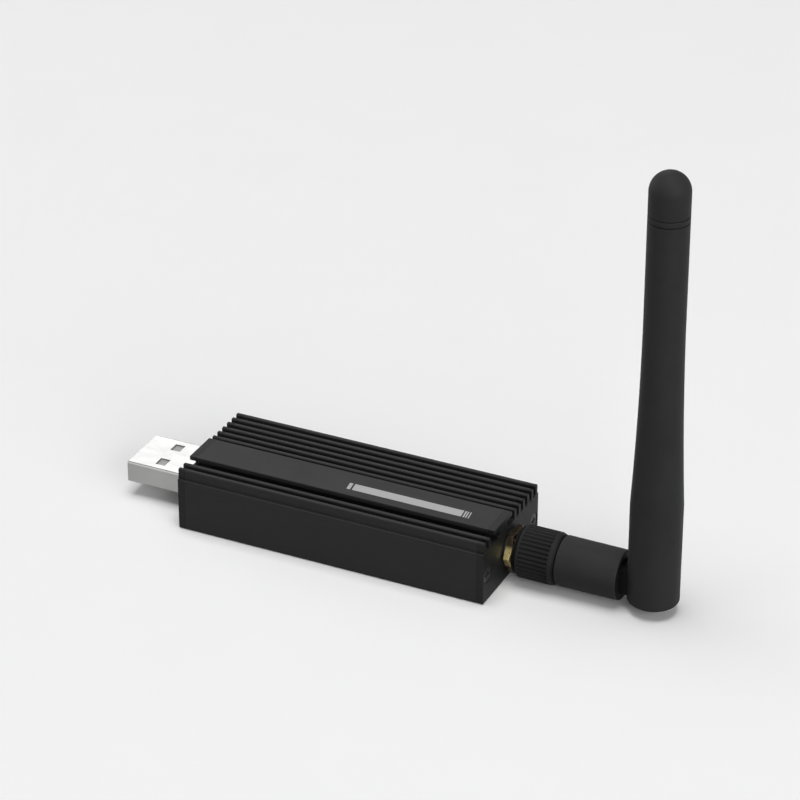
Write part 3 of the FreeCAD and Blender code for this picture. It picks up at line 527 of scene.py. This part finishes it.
def makeHexNut(look):
    work = mergedCopy("jack_hex_nut")
    turn = Matrix.Rotation(math.radians(look["turn"]), 3, "X")
    bmesh.ops.rotate(work, verts=work.verts, cent=(0, 0, jackAxis), matrix=turn)
    softenEdges(work, look["edge"])
    standFor(placePiece(work, "jackHexNut", "stick", "dullGold"), "jack_hex_nut")


makeHexNut(hexNut)
print("panel nut tightened")


# Plug shell: the sheet's seam runs along the middle of the underside
plugShell = {
    "seamWidth": 0.09 * mm,
    "seamDepth": 0.12 * mm,
    "edge": 0.07 * mm,
}


def makePlugShell(look):
    work = mergedCopy("usb_plug_shell")
    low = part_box("usb_plug_shell")[0].z
    softenEdges(work, look["edge"])
    for side in (-1, 0, 1):
        cutAcross(work, (0, side * look["seamWidth"] / 2, 0), (0, 1, 0))
    near = meshLimits["onLine"]
    seam = [v for v in work.verts if abs(v.co.y) < near and v.co.z < low + near]
    bmesh.ops.translate(work, verts=seam, vec=(0, 0, look["seamDepth"]))
    standFor(placePiece(work, "plugShell", "stick", "nickel"), "usb_plug_shell")


makePlugShell(plugShell)
print("plug shell made")


# Threads: 36 to the inch on the jack, and the same inside the coupling nut, half a pitch on.
# The ridges stop short of the jack's mouth, and their feet are sunk into the metal.
thread = {
    "pitch": 0.7056 * mm,
    "crest": 3.175 * mm,
    "root": 2.8 * mm,
    "rootStep": 0.01 * mm,
    "crestWidth": 0.088 * mm,
    "flankAngle": 30,
    "clearance": 0.03 * mm,
    "stepsPerTurn": 40,
    "footDepth": 0.05 * mm,
    "start": 0.6 * mm,
    "jackStop": 0.55 * mm,
    "nutStop": 0.2 * mm,
    "nutEdge": 0.04 * mm,
    "nutEdgeAngle": 50,
    "creaseAngle": 25,
}


# A right-hand ridge round the jack's axis, from one radius to another
def addRidge(work, start, end, footRadius, crestRadius, look):
    slope = math.tan(math.radians(look["flankAngle"]))
    half = look["crestWidth"] / 2
    foot = half + abs(crestRadius - footRadius) * slope
    corners = [(-foot, footRadius), (-half, crestRadius), (half, crestRadius), (foot, footRadius)]
    section = [work.verts.new((start + x, 0, jackAxis + r)) for x, r in corners]
    face = work.faces.new(section)
    turns = (end - start) / look["pitch"]
    steps = round(turns * look["stepsPerTurn"])
    known = set(work.edges) - set(face.edges)
    bmesh.ops.spin(
        work,
        geom=section + list(face.edges) + [face],
        cent=(0, 0, jackAxis),
        axis=(1, 0, 0),
        dvec=((end - start) / steps, 0, 0),
        angle=turns * 2 * math.pi,
        steps=steps,
    )
    openEdges = [edge for edge in work.edges if edge not in known and edge.is_boundary]
    bmesh.ops.holes_fill(work, edges=openEdges, sides=4)


def fromAxis(vert):
    return math.hypot(vert.co.y, vert.co.z - jackAxis)


# The bush keeps its full radius up to the middle of the panel nut
def threadStart():
    nutLow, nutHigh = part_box("jack_hex_nut")
    return (nutLow.x + nutHigh.x) / 2


def makeJack(look):
    work = mergedCopy("jack_body")
    start = threadStart()
    step = look["rootStep"]
    for place in (start - step, start):
        cutAcross(work, (place, 0, 0), (1, 0, 0))
    beyond = [vert for vert in work.verts if vert.co.x > start - meshLimits["onLine"]]
    bush = [vert for vert in beyond if fromAxis(vert) > look["root"] - step]
    share = look["root"] / look["crest"]
    about = Matrix.Translation((0, 0, -jackAxis))
    bmesh.ops.scale(work, verts=bush, vec=(1, share, share), space=about)
    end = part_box("jack_body")[1].x - look["jackStop"]
    addRidge(work, start, end, look["root"] - look["footDepth"], look["crest"], look)
    piece = placePiece(work, "threadedJack", "stick", "gold", look["creaseAngle"])
    standFor(piece, "jack_body")


def makeCouplingNut(look):
    work = mergedCopy("coupling_nut")
    softenEdges(work, look["nutEdge"], look["nutEdgeAngle"])
    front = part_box("coupling_nut")[0].x + look["start"]
    pitches = math.ceil((front - threadStart()) / look["pitch"])
    start = threadStart() + (pitches + 0.5) * look["pitch"]
    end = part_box("jack_body")[1].x - look["nutStop"]
    foot = look["crest"] + 2 * look["clearance"]
    addRidge(work, start, end, foot, look["root"] + look["clearance"], look)
    piece = placePiece(work, "couplingNut", "coupling_nut", "gold", look["creaseAngle"])
    standFor(piece, "coupling_nut")


makeJack(thread)
makeCouplingNut(thread)
print("threads cut")


# Inner cable: straight in the barrel, round one bend at the knuckle and up the whip
cable = {
    "sides": 20,
    "bendRadius": 3.0 * mm,
    "bendSteps": 16,
    "straightStep": 2.0 * mm,
}


def extrudeRing(work, ring, move, steps):
    for _ in range(steps):
        grown = bmesh.ops.extrude_edge_only(work, edges=ring)["geom"]
        verts = [part for part in grown if isinstance(part, bmesh.types.BMVert)]
        ring = [part for part in grown if isinstance(part, bmesh.types.BMEdge)]
        bmesh.ops.translate(work, verts=verts, vec=move / steps)
    return ring


def makeCable(look):
    low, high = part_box("antenna_cable")
    radius = high.y
    axis = low.z + radius
    knuckle = high.x - radius
    bendStart = Vector((knuckle - look["bendRadius"], 0, axis))
    bendTop = Vector((knuckle, 0, axis + look["bendRadius"]))
    work = bmesh.new()
    turn = Matrix.Translation((low.x, 0, axis)) @ Matrix.Rotation(math.pi / 2, 4, "Y")
    bmesh.ops.create_circle(work, segments=look["sides"], radius=radius, matrix=turn)
    length = bendStart.x - low.x
    steps = round(length / look["straightStep"])
    ring = extrudeRing(work, work.edges[:], Vector((length, 0, 0)), steps)
    bent = bmesh.ops.spin(
        work,
        geom=ring + list({vert for edge in ring for vert in edge.verts}),
        cent=(bendStart.x, 0, bendTop.z),
        axis=(0, 1, 0),
        angle=-math.pi / 2,
        steps=look["bendSteps"],
    )
    ring = [part for part in bent["geom_last"] if isinstance(part, bmesh.types.BMEdge)]
    height = high.z - bendTop.z
    extrudeRing(work, ring, Vector((0, 0, height)), round(height / look["straightStep"]))
    ends = [edge for edge in work.edges if edge.is_boundary]
    bmesh.ops.holes_fill(work, edges=ends, sides=look["sides"])
    bmesh.ops.recalc_face_normals(work, faces=work.faces)
    for face in work.faces:
        face.smooth = len(face.verts) == 4
    piece = linkMesh(work, "innerCable", finishes["cable"])
    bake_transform(piece)
    standFor(piece, "antenna_cable")


makeCable(cable)
print("cable bent")


# Print on the raised strip: a plain bar with slanted ends and slanted ticks beside it
stripPrint = {
    "start": 0.3 * mm,
    "near": -5.65 * mm,
    "far": -3.4 * mm,
    "slant": -0.28 * mm,
    "thickness": 0.012 * mm,
    "marks": [(0.0, 0.75), (1.15, 24.18), (24.46, 24.8), (24.98, 25.26), (25.54, 25.76)],
}


def makePrint(look):
    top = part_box("finned_housing")[1].z + look["thickness"] / 2
    middle = (look["near"] + look["far"]) / 2
    width = look["far"] - look["near"]
    work = bmesh.new()
    for begin, end in look["marks"]:
        along = look["start"] + (begin + end) / 2 * mm
        scale = Matrix.Diagonal(((end - begin) * mm, width, look["thickness"], 1))
        place = Matrix.Translation((along, middle, top))
        bmesh.ops.create_cube(work, size=1, matrix=place @ scale)
    for vert in work.verts:
        vert.co.x += look["slant"] * (vert.co.y - middle) / width
    placePiece(work, "stripPrint", "stick", "print")


makePrint(stripPrint)
print("print laid on the strip")


# Stage: a pale floor under a pale sky, and soft panels all round.
# The sky and wall that surfaces mirror are brighter than the sky that lights them.
stageLook = {
    "floorSize": 6.0,
    "floorDrop": 0.05 * mm,
    "floorColour": 0.9,
    "grainScale": 40,
    "grainTone": 1.01,
    "bounceColour": 0.2,
    "mirroredSky": (0.08, 0.45),
    "softSky": (0.12, 0.2),
    "wall": 1.3,
    "wallFacing": (-0.43, 0.9),
    "wallEdge": (-0.3, 0.5),
}
lamps = {
    "overhead": {"place": (0, -0.1, 2.4), "size": 1.5, "power": 35.0},
    "behind": {"place": (-0.63, 1.03, 0.69), "size": 0.6, "power": 3.0, "onlyGloss": True},
    "right": {"place": (1.65, -1.13, 0.5), "size": 1.8, "power": 37.0},
    "left": {"place": (-1.9, 0.15, 0.2), "size": 1.6, "power": 21.5},
}


# 1 for a ray that a surface has mirrored or let through
def mirroredRay(tree, path):
    mirrored, through = path.outputs["Is Glossy Ray"], path.outputs["Is Transmission Ray"]
    return calculate(tree, "MAXIMUM", mirrored, through)


def floorFinish(look):
    material, tree, shader = startMaterial("floorPaper", {"specular": 0.0})
    shader.inputs["Roughness"].default_value = 1.0
    pale = look["floorColour"]
    grain = spread(tree, noise(tree, placeVector(tree), look["grainScale"]), 0, 1)
    paper = mixColours(tree, grain, (pale,) * 3, (pale * look["grainTone"],) * 3)
    path = addNode(tree, "ShaderNodeLightPath")
    seen = calculate(tree, "MAXIMUM", path.outputs["Is Camera Ray"], mirroredRay(tree, path))
    colour = mixColours(tree, seen, (look["bounceColour"],) * 3, paper)
    tree.links.new(colour, shader.inputs["Base Color"])
    # Clear from below, so that the underside can be looked at
    clear = addNode(tree, "ShaderNodeBsdfTransparent")
    side = addNode(tree, "ShaderNodeNewGeometry")
    mix = addNode(tree, "ShaderNodeMixShader")
    tree.links.new(side.outputs["Backfacing"], mix.inputs["Fac"])
    tree.links.new(shader.outputs["BSDF"], mix.inputs[1])
    tree.links.new(clear.outputs["BSDF"], mix.inputs[2])
    tree.links.new(mix.outputs["Shader"], tree.nodes["Material Output"].inputs["Surface"])
    return material


def makeFloor(look):
    work = bmesh.new()
    place = Matrix.Translation((0, 0, -look["floorDrop"]))
    size = look["floorSize"] / 2
    bmesh.ops.create_grid(work, x_segments=1, y_segments=1, size=size, matrix=place)
    linkMesh(work, "floor", floorFinish(look))


def makeWorld(look):
    world = bpy.data.worlds.new("paleStudio")
    world.use_nodes = True
    scene.world = world
    tree = world.node_tree
    direction = addNode(tree, "ShaderNodeTexCoord")
    parts = splitVector(tree, direction.outputs["Generated"])
    sky = spread(tree, parts["Z"], *look["mirroredSky"], 0, 1)
    across, along = look["wallFacing"]
    facing = addShare(tree, calculate(tree, "MULTIPLY", parts["X"], across), parts["Y"], along)
    wall = spread(tree, facing, look["wall"], 0, *look["wallEdge"])
    mirrored = calculate(tree, "ADD", sky, wall)
    soft = spread(tree, parts["Z"], *look["softSky"], 0, 1)
    path = addNode(tree, "ShaderNodeLightPath")
    strength = addNode(tree, "ShaderNodeMix")
    tree.links.new(mirroredRay(tree, path), strength.inputs[0])
    tree.links.new(soft, strength.inputs[2])
    tree.links.new(mirrored, strength.inputs[3])
    background = tree.nodes["Background"]
    tree.links.new(strength.outputs[0], background.inputs["Strength"])
    background.inputs["Color"].default_value = (1, 1, 1, 1)


def makeLamps(looks):
    for name, look in looks.items():
        light = bpy.data.lights.new(name, "AREA")
        light.energy = look["power"]
        light.size = look["size"]
        lamp = bpy.data.objects.new(name, light)
        lamp.location = look["place"]
        lamp.rotation_euler = (-lamp.location).to_track_quat("-Z", "Y").to_euler()
        lamp.visible_diffuse = not look.get("onlyGloss", False)
        scene.collection.objects.link(lamp)


# The camera stands where the picture's perspective puts it
cameraView = {
    "azimuth": 25.596,
    "elevation": 29.134,
    "place": (0.2548, -0.5128, 0.3491),
    "lens": 154.6,
    "clip": (0.01, 20),
}


def makeCamera(look):
    camera = bpy.data.objects.new("camera", bpy.data.cameras.new("camera"))
    camera.location = look["place"]
    tilt, turn = math.radians(90 - look["elevation"]), math.radians(look["azimuth"])
    camera.rotation_euler = (tilt, 0, turn)
    camera.data.lens = look["lens"]
    camera.data.clip_start, camera.data.clip_end = look["clip"]
    scene.collection.objects.link(camera)
    scene.camera = camera


makeFloor(stageLook)
makeWorld(stageLook)
makeLamps(lamps)
makeCamera(cameraView)
scene.view_settings.view_transform = "Standard"
print("stage, lamps and camera ready")
